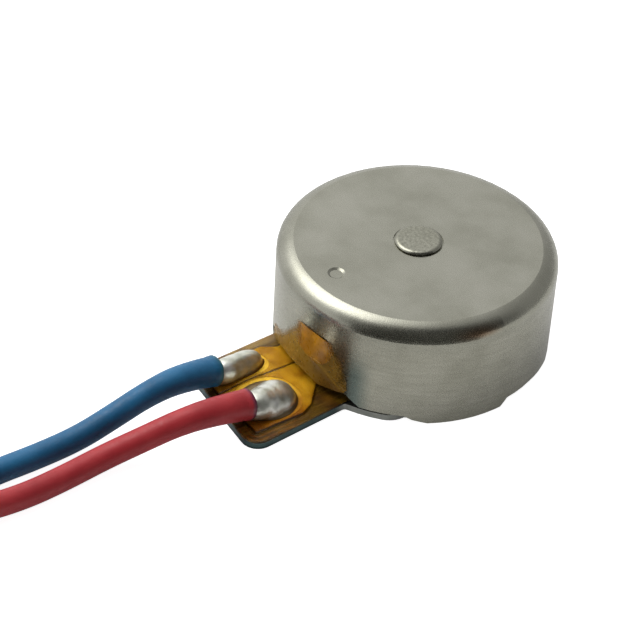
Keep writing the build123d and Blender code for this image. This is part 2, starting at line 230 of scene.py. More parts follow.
def steps(*marks):
    """Grid lines from marks of (place, spacing up to the next mark), the last with any spacing."""
    lines = []
    for (a, spacing), (b, _) in zip(marks, marks[1:]):
        count = max(1, round((b - a) / spacing))
        lines += [a + (b - a) * i / count for i in range(count)]
    return lines + [marks[-1][0]]


def ring_faces(first, rings, around):
    """Faces between successive rings of points, the first of which starts at point first."""
    faces = []
    for ring in range(rings):
        for i in range(around):
            a, b = first + ring * around + i, first + ring * around + (i + 1) % around
            faces.append((a, a + around, b + around, b))
    return faces


def inside_polygon(corners, x, y):
    """Distance to a polygon's edge, above zero inside it."""
    nearest, within = 1e9, False
    for (ax, ay), (bx, by) in zip(corners, corners[1:] + corners[:1]):
        ex, ey = bx - ax, by - ay
        t = min(1.0, max(0.0, ((x - ax) * ex + (y - ay) * ey) / (ex * ex + ey * ey)))
        nearest = min(nearest, hypot(x - ax - t * ex, y - ay - t * ey))
        if (ay > y) != (by > y) and x < ax + ex * (y - ay) / ey:
            within = not within
    return nearest if within else -nearest


def inside_rounded(centre, size, radius, x, y):
    """Distance to a rounded rectangle's edge, above zero inside it."""
    dx = abs(x - centre[0]) - size[0] / 2 + radius
    dy = abs(y - centre[1]) - size[1] / 2 + radius
    return radius - hypot(max(dx, 0), max(dy, 0)) - min(max(dx, dy), 0)


def shrunk(corners, by):
    """A clockwise or anticlockwise convex outline with its edges moved in."""
    centre = [sum(c) / len(corners) for c in zip(*corners)]
    lines = []
    for (ax, ay), (bx, by_) in zip(corners, corners[1:] + corners[:1]):
        nx, ny = ay - by_, bx - ax
        length = hypot(nx, ny)
        nx, ny = nx / length, ny / length
        if (centre[0] - ax) * nx + (centre[1] - ay) * ny < 0:
            nx, ny = -nx, -ny
        lines.append((nx, ny, nx * ax + ny * ay + by))
    moved = []
    for (a, b, c), (d, e, f) in zip(lines[-1:] + lines[:-1], lines):
        det = a * e - b * d
        moved.append(((c * e - b * f) / det, (a * f - c * d) / det))
    return moved


def film(xs, ys, inside, place):
    """Points and faces of a thin sheet: the part of a grid where inside(x, y) is above zero, cut along that
    line. place(x, y, side) puts a grid point in space, with side 1 for its outer face and 0 for its inner."""
    value = {(i, j): inside(x, y) for i, x in enumerate(xs) for j, y in enumerate(ys)}
    flat, known, faces = [], {}, []

    def corner(*keys):
        key = tuple(sorted(keys))
        if key not in known:
            if len(keys) == 1:
                spot = (xs[keys[0][0]], ys[keys[0][1]])
            else:
                a, b = key
                t = min(0.94, max(0.06, value[a] / (value[a] - value[b])))
                spot = tuple(g[p] + (g[q] - g[p]) * t for g, p, q in zip((xs, ys), a, b))
            known[key] = len(flat)
            flat.append(spot)
        return known[key]

    for i in range(len(xs) - 1):
        for j in range(len(ys) - 1):
            ring = [(i, j), (i + 1, j), (i + 1, j + 1), (i, j + 1)]
            loop = []
            for a, b in zip(ring, ring[1:] + ring[:1]):
                if value[a] > 0:
                    loop.append(corner(a))
                if (value[a] > 0) != (value[b] > 0):
                    loop.append(corner(a, b))
            if len(loop) > 2:
                faces.append(loop)
    count = len(flat)
    points = [place(x, y, 1) for x, y in flat] + [place(x, y, 0) for x, y in flat]
    directed = {(a, b) for loop in faces for a, b in zip(loop, loop[1:] + loop[:1])}
    rim = [(a, b) for a, b in directed if (b, a) not in directed]
    under = [[v + count for v in reversed(loop)] for loop in faces]
    edge = [[b, a, a + count, b + count] for a, b in sorted(rim)]
    return points, faces + under + edge


# ---------------------------------------------------------------- leads
LEAD_D = 0.70
# the route of each lead's centre line, from the solder to the storage coil, as in the CAD source
ROUTE_RED = [
    (0.86, -6.30, 0.78), (0.81, -7.35, 0.99), (0.64, -8.40, 0.93), (0.44, -9.42, 0.66),
    (0.27, -10.45, 0.43), (0.33, -11.75, 0.35), (0.40, -13.00, 0.37), (0.36, -14.30, 0.50),
    (0.18, -15.60, 0.86), (-0.10, -16.80, 1.05), (-0.20, -17.60, 1.06), (-0.20, -18.40, 1.06),
]
ROUTE_BLUE = [
    (-0.80, -6.30, 0.77), (-0.82, -7.35, 1.00), (-0.80, -8.45, 0.94), (-0.79, -9.55, 0.65),
    (-0.76, -10.70, 0.41), (-0.78, -12.00, 0.35), (-0.84, -13.30, 0.35), (-0.74, -14.90, 0.352),
    (-0.42, -16.20, 0.35), (-0.20, -17.35, 0.35), (-0.20, -18.40, 0.35),
]
COIL_ENTRY = (-0.20, -18.40)
COIL_TURN_R = 4.40
LEAD_PITCH = 0.74
POINTS_PER_HALF_TURN = 8
TIP_HEADING = Vector((-0.22, -1, 0)).normalized()
TIP_LENGTH = 1.60
FLARE = (1.24, 1.16, 1.02)  # the first points' radius over the lead's own, where the insulation was melted


def storage_turns(z):
    """Points of four half turns wound inward, clockwise from above, about two centres half a pitch apart."""
    points = []
    for n in range(4):
        radius = (COIL_TURN_R - LEAD_PITCH * n / 2) / cos(pi / POINTS_PER_HALF_TURN / 2)
        centre_x = COIL_ENTRY[0] - COIL_TURN_R - (n % 2) * LEAD_PITCH / 2
        for i in range(POINTS_PER_HALF_TURN):
            angle = -pi * (n % 2) - pi * (i + 0.5) / POINTS_PER_HALF_TURN
            points.append((centre_x + radius * cos(angle), COIL_ENTRY[1] + radius * sin(angle), z))
    return points + [(COIL_ENTRY[0] - 2 * LEAD_PITCH, COIL_ENTRY[1], z)]


def wire(name, route, material, replaced):
    """An insulated lead as one open NURBS spline."""
    points = route + storage_turns(route[-1][2])
    curve = bpy.data.curves.new(name, "CURVE")
    curve.dimensions = "3D"
    spline = curve.splines.new("NURBS")
    spline.points.add(len(points) - 1)
    for place, point in zip(points, spline.points):
        point.co = (*(Vector(place) * MM), 1)
    for swell, point in zip(FLARE, spline.points):
        point.radius = swell
    spline.order_u = 3
    spline.use_endpoint_u = True
    spline.resolution_u = 10
    curve.bevel_depth = LEAD_D / 2 * MM
    curve.bevel_resolution = 6
    curve.use_fill_caps = True
    curve.materials.append(material)
    piece = bpy.data.objects.new(name, curve)
    bpy.context.scene.collection.objects.link(piece)
    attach(piece, "case")
    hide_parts(*replaced)
    return piece


def insulation(name, dark, base, light):
    """Soft silicone insulation: faint mottling, a waxy sheen and a fine skin."""
    stops = [(0.25, dark), (0.5, base), (0.75, light)]
    return surface(
        name, stops, mottle=0.9, grain=0.11, rough=(0.36, 0.56), relief=0.35,
        Specular_IOR_Level=0.42, Sheen_Weight=0.05, Sheen_Roughness=0.5,
    )[0]


red_insulation = insulation(
    "red_insulation", (0.37, 0.018, 0.025), (0.44, 0.025, 0.033), (0.51, 0.036, 0.044)
)
blue_insulation = insulation(
    "blue_insulation", (0.005, 0.095, 0.215), (0.009, 0.128, 0.285), (0.015, 0.165, 0.350)
)


def twisted_tip(name, start, material, slot, replaced):
    """Seven tinned strands, six of them laid helically round a straight one."""
    strand_r, laid_r, turns, rings, sides = 0.046, 0.088, 1.5, 30, 10
    across = Vector((0, 0, 1))
    aside = TIP_HEADING.cross(across)
    points, faces = [], []
    for strand in range(7):
        first = len(points)
        for ring in range(rings + 1):
            t = ring / rings
            angle = 2 * pi * (turns * t + strand / 6)
            away = 0 if strand == 6 else laid_r * (1 - 0.25 * smooth_step((t - 0.85) / 0.15))
            length = TIP_LENGTH * t * (1 - 0.02 * (strand % 3))
            middle = Vector(start) + TIP_HEADING * length + (across * cos(angle) + aside * sin(angle)) * away
            for side in range(sides):
                turn = 2 * pi * side / sides
                points.append(middle + (across * cos(turn) + aside * sin(turn)) * strand_r)
        faces.extend(ring_faces(first, rings, sides))
        faces.append(tuple(first + side for side in range(sides)))
        faces.append(tuple(first + rings * sides + side for side in reversed(range(sides))))
    return mesh_piece(name, points, faces, material, slot, replaced)


tinned = plain(
    "tinned_copper", (0.42, 0.42, 0.40), (0.62, 0.61, 0.57), 0.3, 0.05, (0.22, 0.42), 0.4, Metallic=1.0
)

for colour, route, material in (("red", ROUTE_RED, red_insulation), ("blue", ROUTE_BLUE, blue_insulation)):
    replaced = (f"lead_{colour}", f"lead_coil_{colour}")
    lead = wire(f"lead_{colour}_wire", route, material, replaced)
    tip_start = (COIL_ENTRY[0] - 2 * LEAD_PITCH, COIL_ENTRY[1], route[-1][2])
    tip = twisted_tip(f"lead_{colour}_strands", tip_start, tinned, "tinned_copper", (f"lead_tip_{colour}",))
    Vector(route[0]) * MM


# ---------------------------------------------------------------- light and floor
KEY_SIDE = (-0.50, -0.22, 0.84)
VIEWER_SIDE = (0.80, -0.35, 0.48)
FAR_SIDE = (0.35, 0.90, 0.30)
GLOW_SEEN, GLOW_MIRRORED = 0.93, 0.20  # of the table top, to the camera and to shiny surfaces


def add_world():
    """A plain studio: pale all round, brighter at the key side, dim at the viewer's and the far side."""
    world = bpy.data.worlds.new("studio")
    bpy.context.scene.world = world
    world.use_nodes = True
    tree = world.node_tree
    heading = node(tree, "ShaderNodeTexCoord").outputs["Generated"]

    def lobe(towards, edge, core, strength):
        """strength round a direction and 0 away from it. edge and core are cosines of the angle to it."""
        inputs = {0: heading, 1: Vector(towards).normalized()}
        near = node(tree, "ShaderNodeVectorMath", inputs, operation="DOT_PRODUCT")
        return maths(tree, "MULTIPLY", mapped(tree, near.outputs["Value"], (edge, core)), strength)

    level = maths(tree, "ADD", 1.05, lobe(KEY_SIDE, 0.80, 0.975, 1.35))
    for dark_lobe in (lobe(VIEWER_SIDE, 0.22, 0.82, 0.94), lobe(FAR_SIDE, 0.30, 0.85, 0.55)):
        level = maths(tree, "MULTIPLY", level, maths(tree, "SUBTRACT", 1.0, dark_lobe))
    to_camera = node(tree, "ShaderNodeLightPath").outputs["Is Camera Ray"]
    shown = node(tree, "ShaderNodeMix", {0: to_camera, 2: level, 3: 1.0}, data_type="FLOAT").outputs[0]
    background = tree.nodes["Background"]
    background.inputs["Color"].default_value = (1, 1, 1, 1)
    tree.links.new(shown, background.inputs["Strength"])


def add_light(name, towards, distance, size, radiance, colour):
    """A square soft light of a given radiance, looking at the object."""
    data = bpy.data.lights.new(name, "AREA")
    data.size = size
    data.energy = radiance * pi * size * size
    data.color = colour
    light = bpy.data.objects.new(name, data)
    light.location = AIM + Vector(towards).normalized() * distance
    light.rotation_mode = "QUATERNION"
    light.rotation_quaternion = Vector(towards).to_track_quat("Z", "Y")
    light.visible_camera = False
    bpy.context.scene.collection.objects.link(light)


def add_flag():
    """A grey curved card round the viewer's side, which only shiny surfaces see."""
    radius, low, high = 9.2, 0.1, 12.5
    start, stop, parts = -76, 3, 24
    points = []
    for i in range(parts + 1):
        angle = radians(start + (stop - start) * i / parts)
        points += [(radius * cos(angle) * MM, radius * sin(angle) * MM, z * MM) for z in (low, high)]
    faces = [(2 * i, 2 * i + 2, 2 * i + 3, 2 * i + 1) for i in range(parts)]
    mesh = bpy.data.meshes.new("flag")
    mesh.from_pydata(points, [], faces)
    mesh.materials.append(plain(
        "grey_card", (0.10, 0.10, 0.095), (0.12, 0.12, 0.115), 5, 1, (0.8, 0.9), 0.02, Specular_IOR_Level=0.0
    ))
    flag = bpy.data.objects.new("flag", mesh)
    bpy.context.scene.collection.objects.link(flag)
    for seen_by in ("camera", "diffuse", "transmission", "volume_scatter", "shadow"):
        setattr(flag, "visible_" + seen_by, False)


def add_floor():
    """A pale table top that glows, so that it shows white with only a faint shadow."""
    half = 0.6
    corners = [(-half, -half, 0), (half, -half, 0), (half, half, 0), (-half, half, 0)]
    mesh = bpy.data.meshes.new("floor")
    mesh.from_pydata(corners, [], [(0, 1, 2, 3)])
    material, tree, shader, _, _ = surface(
        "table_top", two((0.70, 0.70, 0.70), (0.74, 0.74, 0.735)), mottle=8, grain=1.5, rough=(0.85, 0.95),
        relief=0.02, Specular_IOR_Level=0.0, Emission_Color=(1, 1, 1, 1),
    )
    path = node(tree, "ShaderNodeLightPath").outputs
    seen = maths(tree, "MULTIPLY", path["Is Camera Ray"], GLOW_SEEN)
    mirrored = maths(tree, "MULTIPLY", path["Is Glossy Ray"], GLOW_MIRRORED)
    tree.links.new(maths(tree, "ADD", seen, mirrored), shader.inputs["Emission Strength"])
    mesh.materials.append(material)
    floor = bpy.data.objects.new("floor", mesh)
    floor.location.z = -0.01 * MM
    bpy.context.scene.collection.objects.link(floor)


add_world()
add_light("softbox", KEY_SIDE, distance=0.35, size=0.22, radiance=2.2, colour=(1.0, 0.99, 0.96))
add_flag()
add_floor()
bpy.context.scene.view_settings.view_transform = "Standard"


# ---------------------------------------------------------------- materials of the CAD nodes
def can_steel():
    """Nickel-plated drawn steel: satin, faintly blotched, with draw marks round the wall and the wall painted
    lighter than the top, partly as painted light.
    """
    stops = [(0.30, (0.275, 0.272, 0.225)), (0.5, (0.315, 0.312, 0.262)), (0.72, (0.35, 0.345, 0.295))]
    material, tree, shader, place, colour = surface(
        "can_steel", stops, mottle=1.3, grain=0.045, rough=(0.25, 0.32), relief=0.11, Metallic=1.0,
    )
    angle, height = angle_and_height(tree, place)
    on_wall = mapped(tree, height, (0.0031, 0.0024))
    # draw marks round the wall, which also paint the wall up to 15% lighter than the top: partly the
    # burnished wall, partly painted light for its brighter reflection
    draw_marks = noise_at(tree, place, 0.9, 3.0, (1, 1, 9))
    streaks = ramp(tree, draw_marks, [(0.3, (1.0, 0.99, 0.975)), (0.7, (1.15, 1.14, 1.13))])
    colour = tinted(tree, colour, streaks, on_wall)
    # heat tints beside the tape, and a warm brown tint under the rim on the front right
    teal = maths(tree, "MULTIPLY", band(tree, angle, -61.0, 9.0), mapped(tree, height, (0.0024, 0.0012)))
    colour = tinted(tree, colour, (0.42, 0.52, 0.56), teal)
    brown = maths(tree, "MULTIPLY", band(tree, angle, -70.0, 8.0), mapped(tree, height, (0.0028, 0.0018)))
    colour = tinted(tree, colour, (0.72, 0.52, 0.36), brown)
    rim_tint = maths(tree, "MULTIPLY", band(tree, angle, -12.0, 14.0), band(tree, height, 0.00302, 0.00022))
    colour = tinted(tree, colour, (1.0, 0.62, 0.42), maths(tree, "MULTIPLY", rim_tint, 0.8))
    # the boss is grainy from the punch
    split = node(tree, "ShaderNodeSeparateXYZ", {0: place})
    across = node(tree, "ShaderNodeCombineXYZ", {0: split.outputs[0], 1: split.outputs[1]}).outputs[0]
    radius = node(tree, "ShaderNodeVectorMath", {0: across}, operation="LENGTH").outputs["Value"]
    speckle = noise_at(tree, place, 0.085, 3.0)
    grains = ramp(tree, speckle, [(0.3, (0.72, 0.72, 0.70)), (0.7, (1.12, 1.12, 1.10))])
    colour = tinted(tree, colour, grains, mapped(tree, radius, (0.00072, 0.00062)))
    tree.links.new(colour, shader.inputs["Base Color"])
    return material


def flex_base():
    """Polyimide over steel: brown with glue streaks, paler along the far edge, amber by the can's foot."""
    stops = [(0.34, (0.040, 0.026, 0.012)), (0.5, (0.150, 0.085, 0.025)), (0.66, (0.40, 0.265, 0.065))]
    material, tree, shader, place, colour = surface(
        "flex_base", stops, mottle=0.42, grain=0.06, stretch=(3.0, 0.6, 1), rough=(0.3, 0.5), relief=0.3,
    )
    split = node(tree, "ShaderNodeSeparateXYZ", {0: place})
    far_strip = mapped(tree, split.outputs[0], (-0.00138, -0.00160))
    colour = tinted(tree, colour, (0.66, 0.61, 0.48), maths(tree, "MULTIPLY", far_strip, 0.85), "MIX")
    near_x = band(tree, split.outputs[0], 0.00135, 0.00035)
    near_y = band(tree, split.outputs[1], -0.00390, 0.00030)
    amber = maths(tree, "MULTIPLY", near_x, near_y)
    colour = tinted(tree, colour, (0.50, 0.24, 0.035), amber, "MIX")
    tree.links.new(colour, shader.inputs["Base Color"])
    return material


def steel_edge():
    """Cut and tinned plate steel, its sides painted cooler and darker as shade, darker still at their foot as
    a painted shadow.
    """
    material, tree, shader, place, colour = surface(
        "plate_steel", two((0.25, 0.26, 0.24), (0.34, 0.345, 0.32)), mottle=0.5, grain=0.05,
        rough=(0.28, 0.45), relief=0.3, Metallic=1.0,
    )
    normal = node(tree, "ShaderNodeTexCoord").outputs["Normal"]
    up = maths(tree, "ABSOLUTE", node(tree, "ShaderNodeSeparateXYZ", {0: normal}).outputs[2])
    split = node(tree, "ShaderNodeSeparateXYZ", {0: place})
    on_tab = mapped(tree, split.outputs[1], (-0.0036, -0.0040))
    # painted shade: the tab's sides are painted darker and cooler than its top
    side = maths(tree, "MULTIPLY", mapped(tree, up, (0.6, 0.3)), on_tab)
    colour = tinted(tree, colour, (0.20, 0.31, 0.33), side)
    # painted shadow: the sides darken further along their bottom edge
    foot = mapped(tree, split.outputs[2], (0.00009, 0.00002))
    colour = tinted(tree, colour, (0.30, 0.40, 0.42), maths(tree, "MULTIPLY", side, foot))
    tree.links.new(colour, shader.inputs["Base Color"])
    return material


def copper_foil():
    """Tarnished golden foil, darker right of the red lead's solder."""
    material, tree, shader, place, colour = surface(
        "copper_foil", two((0.66, 0.38, 0.025), (0.84, 0.52, 0.04)), mottle=0.5, grain=0.05,
        stretch=(1, 2.5, 1), rough=(0.30, 0.42), relief=0.35, Metallic=0.75,
    )
    split = node(tree, "ShaderNodeSeparateXYZ", {0: place})
    colour = tinted(tree, colour, (0.58, 0.42, 0.28), mapped(tree, split.outputs[0], (0.00060, 0.00105)))
    tree.links.new(colour, shader.inputs["Base Color"])
    return material


made = {
    "can_cover": can_steel(),
    "base_plate": steel_edge(),
    "flex_base_film": flex_base(),
    "trace_red": copper_foil(),
    "core_red": tinned,
    "shaft": plain(
        "shaft_steel", (0.50, 0.50, 0.51), (0.60, 0.60, 0.61), 0.4, 0.04, (0.15, 0.28), 0.15,
        stretch=(1, 1, 6), Metallic=1.0,
    ),
    "lower_washer": plain(
        "washer_film", (0.55, 0.53, 0.48), (0.68, 0.66, 0.60), 0.3, 0.05, (0.4, 0.55), 0.15
    ),
    "magnet_adhesive": plain(
        "adhesive", (0.30, 0.24, 0.12), (0.42, 0.35, 0.20), 0.3, 0.07, (0.2, 0.4), 0.5
    ),
    "ring_magnet": plain(
        "sintered_magnet", (0.055, 0.055, 0.058), (0.095, 0.095, 0.098), 0.25, 0.05, (0.45, 0.65), 0.5,
        Metallic=0.6,
    ),
    "brush_positive": plain(
        "brush_alloy", (0.62, 0.50, 0.28), (0.74, 0.60, 0.36), 0.3, 0.04, (0.18, 0.3), 0.2,
        stretch=(1, 6, 1), Metallic=1.0,
    ),
    "rotor_board": plain(
        "glass_epoxy", (0.05, 0.17, 0.07), (0.08, 0.24, 0.10), 0.25, 0.06, (0.35, 0.5), 0.4
    ),
    "commutator": plain(
        "hard_gold", (0.85, 0.60, 0.22), (0.95, 0.70, 0.30), 0.3, 0.04, (0.12, 0.25), 0.15,
        stretch=(5, 1, 1), Metallic=1.0,
    ),
    "counterweight": plain(
        "tungsten", (0.24, 0.24, 0.25), (0.34, 0.34, 0.35), 0.3, 0.05, (0.35, 0.55), 0.45, Metallic=1.0
    ),
    "rotor_moulding": plain(
        "black_resin", (0.018, 0.018, 0.020), (0.035, 0.035, 0.038), 0.4, 0.08, (0.4, 0.6), 0.4
    ),
    "rotor_bearing": plain(
        "sintered_bronze", (0.42, 0.26, 0.12), (0.58, 0.38, 0.19), 0.2, 0.045, (0.3, 0.5), 0.6, Metallic=1.0
    ),
    "coil_right": plain(
        "enamelled_wire", (0.55, 0.20, 0.06), (0.72, 0.30, 0.10), 0.3, 0.035, (0.2, 0.35), 0.6,
        stretch=(1, 1, 12), Metallic=0.8,
    ),
}
SAME_AS = {
    "upper_washer": "lower_washer", "brush_negative": "brush_positive", "core_blue": "core_red",
    "coil_left": "coil_right", "trace_blue": "trace_red",
}
for name, like in SAME_AS.items():
    made[name] = made[like]
for name, material in made.items():
    nodes[name].data.materials.clear()
    nodes[name].data.materials.append(material)

# ---------------------------------------------------------------- coverlay, draped over the copper
FILM_T = 0.025  # thinner than the CAD film, which leaves room for the waves
WAVE_H = 0.004
FILM_GAP = 0.0005
BASE_TOP = node_box("flex_base_film")[1].z
COPPER_TOP = node_box("trace_red")[1].z
TRACES = (
    [
        (-0.32, -3.26), (-0.42, -5.40), (-0.34, -6.38), (1.46, -6.38), (1.49, -4.84), (1.31, -4.46),
        (0.69, -3.86), (1.45, -2.60), (1.45, -0.45), (1.00, -0.45), (1.00, -2.40),
    ],
    [
        (-0.38, -3.26), (-0.48, -5.40), (-0.40, -6.38), (-1.42, -6.38), (-1.46, -4.28), (-1.20, -3.86),
        (-1.45, -2.60), (-1.45, 1.00), (-1.00, 1.00), (-1.00, -2.40),
    ],
)
WINDOWS = (((0.52, -5.38), (1.80, 1.90), 0.80), ((-0.97, -5.38), (0.88, 1.90), 0.40))
FLEX_R = node_box("flex_base_film")[1].x
TAB_OUTLINE = [(-1.78, 0), (-1.78, -3.50), (-1.69, -6.54), (1.925, -6.815), (1.725, -3.50), (1.725, 0)]
TAB_CORNER_R = 0.48
TAB_CORE = shrunk(TAB_OUTLINE, TAB_CORNER_R)
COLLAR_HOLE_R = 0.75
BRUSH_HOLES = [((side * 1.25, side * -0.725), (0.46, 0.69), 0.05) for side in (1, -1)]
DRAPE = 0.07  # width of the slope beside the copper
GLUE_HALF_W = 0.03
STREAK_PITCH, STREAK_H = 0.15, 0.012


def coverlay_inside(x, y):
    """Distance to the film's edge, above zero where there is film."""
    outer = max(FLEX_R - hypot(x, y), inside_polygon(TAB_CORE, x, y) + TAB_CORNER_R)
    holes = [inside_rounded(*hole, x, y) for hole in (*WINDOWS, *BRUSH_HOLES)]
    return min(outer, hypot(x, y) - COLLAR_HOLE_R, -max(holes))


def inside_traces(x, y):
    """Distance to the copper's edge, above zero over the copper."""
    return max(inside_polygon(trace, x, y) for trace in TRACES)


def flux_streak(x, y, over):
    """Ridges of dried flux round the red pad's corner, 1 at their tops."""
    here = smooth_step((-over - 0.05) / 0.08) * smooth_step((x - 1.0) / 0.3) * smooth_step((-4.9 - y) / 0.5)
    return here * max(0.0, sin(-2 * pi * over / STREAK_PITCH + 1.2 * noise.noise(Vector((x, y, 0)))))


def coverlay_place(x, y, side):
    """The film lies on the base film and climbs the copper's edge."""
    over = inside_traces(x, y)
    rise = (COPPER_TOP - BASE_TOP + FILM_GAP) * smooth_step(over / DRAPE + 0.8)
    wave = WAVE_H * noise.noise(Vector((x * 2.2, y * 2.2, 3.0)))
    streak = STREAK_H * flux_streak(x, y, over)
    return x, y, BASE_TOP + FILM_GAP + rise + (FILM_T + wave + streak) * side


def amber_coverlay():
    """Amber film, darker at the red pad's far corner, brown where no copper is under it, with the dark line
    of glue along the copper's edge."""
    stops = [(0.36, (0.46, 0.180, 0.006)), (0.5, (0.76, 0.390, 0.013)), (0.64, (0.98, 0.560, 0.025))]
    material, tree, shader, place, colour = surface(
        "amber_coverlay", stops, mottle=0.55, grain=0.09, rough=(0.16, 0.30), relief=0.25,
        Specular_IOR_Level=0.24,
    )
    split = node(tree, "ShaderNodeSeparateXYZ", {0: place}).outputs
    glue, bare = painted(tree, "glue"), painted(tree, "bare")
    right, near_end = mapped(tree, split[0], (0.0007, 0.0014)), mapped(tree, split[1], (-0.0042, -0.0052))
    # the red pad's far corner is tinted darker
    corner = maths(tree, "MULTIPLY", right, near_end)
    far_corner_tint = maths(tree, "MULTIPLY", corner, maths(tree, "SUBTRACT", 1.0, bare))
    colour = tinted(tree, colour, (0.80, 0.54, 0.35), far_corner_tint)
    colour = tinted(tree, colour, (0.22, 0.21, 0.18), bare)
    tree.links.new(tinted(tree, colour, (0.10, 0.08, 0.10), glue), shader.inputs["Base Color"])
    tree.links.new(mapped(tree, glue, (0.0, 1.0), (0.36, 0.90)), shader.inputs["Alpha"])
    return material


coverlay = mesh_piece(
    "coverlay_film",
    *film(
        steps((-3.60, 0.25), (-1.84, 0.03), (2.00, 0.25), (3.60, 1)),
        steps((-6.90, 0.03), (-3.50, 0.20), (3.60, 1)),
        coverlay_inside, coverlay_place,
    ),
    amber_coverlay(), "flex_cover", ("flex_coverlay",),
)
glue_line, bare = [], []  # where the glue shows, and where no copper is under the film
for vertex in coverlay.data.vertices:
    x, y = vertex.co.x / MM, vertex.co.y / MM
    over = inside_traces(x, y)
    on_tab = y < -3.3
    glue_line.append(smooth_step(1.5 - abs(over + GLUE_HALF_W) / GLUE_HALF_W) if on_tab else 0.0)
    # golden tops of the flux ridges, partly amber flux and partly a painted highlight, and a paler strip
    # along the far edge
    ridge_glint_and_pale_strip = max(0.85 * flux_streak(x, y, over), 0.30 * smooth_step((-1.45 - x) / 0.15))
    bare.append(smooth_step(-over / 0.05) * (1 - ridge_glint_and_pale_strip))
paint(coverlay, "glue", glue_line)
paint(coverlay, "bare", bare)

# ---------------------------------------------------------------- tape over the slot
WALL_R = node_box("can_cover")[1].x
TAPE_T = 0.011
TAPE_OFF_WALL, BETWEEN_LAYERS = 0.006, 0.003
TOWARDS_OPEN = Vector((0.61, -0.47, 0.64))  # which way the loose part of the tape stands off
# points of (x, height) on the wall's side towards the tab
TAPE_CREASE = [(0.10, 1.62), (0.55, 1.42), (0.80, 1.19), (1.12, 1.06), (1.42, 0.82), (1.80, 0.56)]
TAPE_OUTLINE = [
    (-1.74, 0.27), (-1.48, 0.29), (-0.88, 0.52), (-0.42, 0.55), (-0.09, 0.565), (0.25, 0.55), (0.55, 0.50),
    (0.88, 0.42), (1.08, 0.46), (1.28, 0.50), (1.50, 0.52), (1.68, 0.56), (1.78, 0.70), (1.74, 1.20),
    (1.60, 1.70), (1.36, 1.95), (0.90, 2.10), (0.35, 2.13), (-0.10, 2.10), (-0.50, 1.60), (-1.17, 0.92),
    (-1.70, 0.70),
]
AMBER_OUTLINE = [
    (-0.12, 2.16), (0.35, 2.17), (0.78, 2.15), (1.26, 2.10), (1.38, 1.84), (1.16, 1.40), (1.00, 1.22),
    (0.76, 1.12), (0.40, 1.20), (0.08, 1.34), (-0.14, 1.50),
]


def crease_side(n, z):
    """How far a point is below the crease, in mm."""
    for (a, za), (b, zb) in zip(TAPE_CREASE, TAPE_CREASE[1:]):
        if n <= b:
            break
    return za + (zb - za) * (n - a) / (b - a) - z


def tape_place(layer):
    """How a layer lies: on the wall above the crease, and standing off it below, with a ridge between."""
    def place(n, z, side):
        radius = WALL_R + TAPE_OFF_WALL + layer + TAPE_T * side
        wall = Vector((n, -sqrt(radius * radius - n * n), z))
        below = crease_side(n, z)
        lift = 0.06 * smooth_step(below / 0.35) * smooth_step((n + 0.5) / 0.9) * smooth_step((1.80 - n) / 0.5)
        ridge = 0.022 * smooth_step(1 - abs(below) / 0.07) * smooth_step((n - 0.3) / 0.4)
        ripple = 0.010 * noise.noise(Vector((n * 2.5, z * 2.5, 1.0)))
        return wall + TOWARDS_OPEN * (lift + ridge + max(0.0, ripple))
    return place


def tape_material(name, stops, shaded):
    """Translucent tape, as clear as its points' cover says and turned to shaded as their shade says."""
    material, tree, shader, _, colour = surface(
        name, stops, mottle=0.38, grain=0.10, rough=(0.24, 0.40), relief=0.15
    )
    tree.links.new(tinted(tree, colour, shaded, painted(tree, "shade")), shader.inputs["Base Color"])
    tree.links.new(painted(tree, "cover"), shader.inputs["Alpha"])
    return material


def tan_looks(n, z):
    """Shade and cover of the lower layer: browner on the loose flap as painted shade and lighter along the
    crease as a painted highlight, clearer at its edges and on the left.
    """
    below = crease_side(n, z)
    # painted shade: the loose flap below the crease is tinted browner
    flap = smooth_step(below / 0.15) * smooth_step((n + 0.3) / 0.7)
    left, right = smooth_step((-0.5 - n) / 0.9), smooth_step((n - 0.2) / 1.1)
    # painted highlight: the colour is lightened along the crease
    painted_crease_glint = smooth_step(1 - abs(below - 0.02) / 0.05) * smooth_step((n - 0.4) / 0.3)
    soft = max(smooth_step(inside_polygon(TAPE_OUTLINE, n, z) / 0.30), smooth_step((1.2 - z) / 0.5))
    clear_top = 0.15 * smooth_step((z - 1.5) / 0.5) * (1 - right)
    shade = max(0.0, min(1.0, 0.05 + 0.45 * right + 0.40 * flap - 0.9 * painted_crease_glint))
    return shade, soft * (0.62 - 0.20 * left - clear_top + 0.20 * flap)


def amber_looks(n, z):
    """Shade and cover of the upper layer, which fades out at its left, right and lower edges."""
    soft = smooth_step((n + 0.16) / 0.50) * smooth_step((1.42 - n) / 0.45) * smooth_step((z - 1.0) / 0.45)
    return 0.5 * smooth_step((n - 0.2) / 1.1), 0.85 * soft


def tape_layer(name, outline, layer, material, looks, replaced=()):
    """One layer of tape on the wall."""
    sheet = film(
        steps((-2.0, 0.04), (2.0, 1)), steps((0.15, 0.04), (2.35, 1)),
        lambda n, z: inside_polygon(outline, n, z), tape_place(layer),
    )
    piece = mesh_piece(name, *sheet, material, "tape_film", replaced)
    values = [looks(vertex.co.x / MM, vertex.co.z / MM) for vertex in piece.data.vertices]
    for attribute, numbers in zip(("shade", "cover"), zip(*values)):
        paint(piece, attribute, numbers)


tan_tape = tape_material(
    "tan_tape", [(0.3, (0.38, 0.21, 0.028)), (0.7, (0.54, 0.32, 0.055))], (0.34, 0.27, 0.24)
)
amber_tape = tape_material(
    "amber_tape", [(0.36, (0.46, 0.19, 0.010)), (0.5, (0.62, 0.27, 0.014)), (0.64, (0.85, 0.40, 0.030))],
    (0.5, 0.42, 0.4),
)
tape_layer("tape_under", TAPE_OUTLINE, 0.0, tan_tape, tan_looks, ("insulating_tape",))
tape_layer("tape_over", AMBER_OUTLINE, TAPE_T + BETWEEN_LAYERS, amber_tape, amber_looks)

